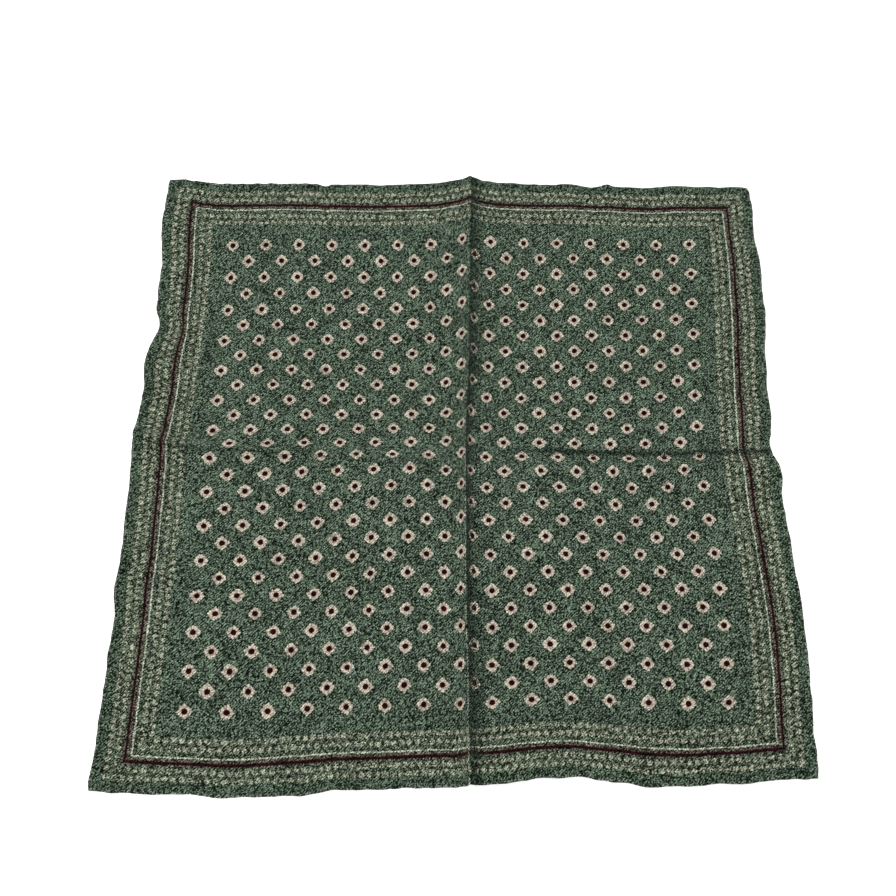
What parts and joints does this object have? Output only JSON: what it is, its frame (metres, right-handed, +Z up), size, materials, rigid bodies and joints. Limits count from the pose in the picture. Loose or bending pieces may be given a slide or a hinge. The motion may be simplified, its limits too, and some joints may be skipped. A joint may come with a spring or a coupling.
{
  "type": "pocket square",
  "caption": "Square printed wool and silk pocket square, opened out and lying on its face down side with pressed fold creases, floret print and dotted border.",
  "frame": {"origin": "middle of the cloth's box, on the surface it rests on", "axes": "+X to the right edge, +Y to the far edge as seen in the picture, +Z up out of the printed face"},
  "size_m": [0.3304, 0.3382, 0.0164],
  "materials": {
    "printed_cloth": "dark green heathered twill, printed with small cream florets, dotted bands and a maroon and a cream line"
  },
  "bodies": {
    "root": {"printed_square": "printed_cloth"}
  },
  "joints": []
}
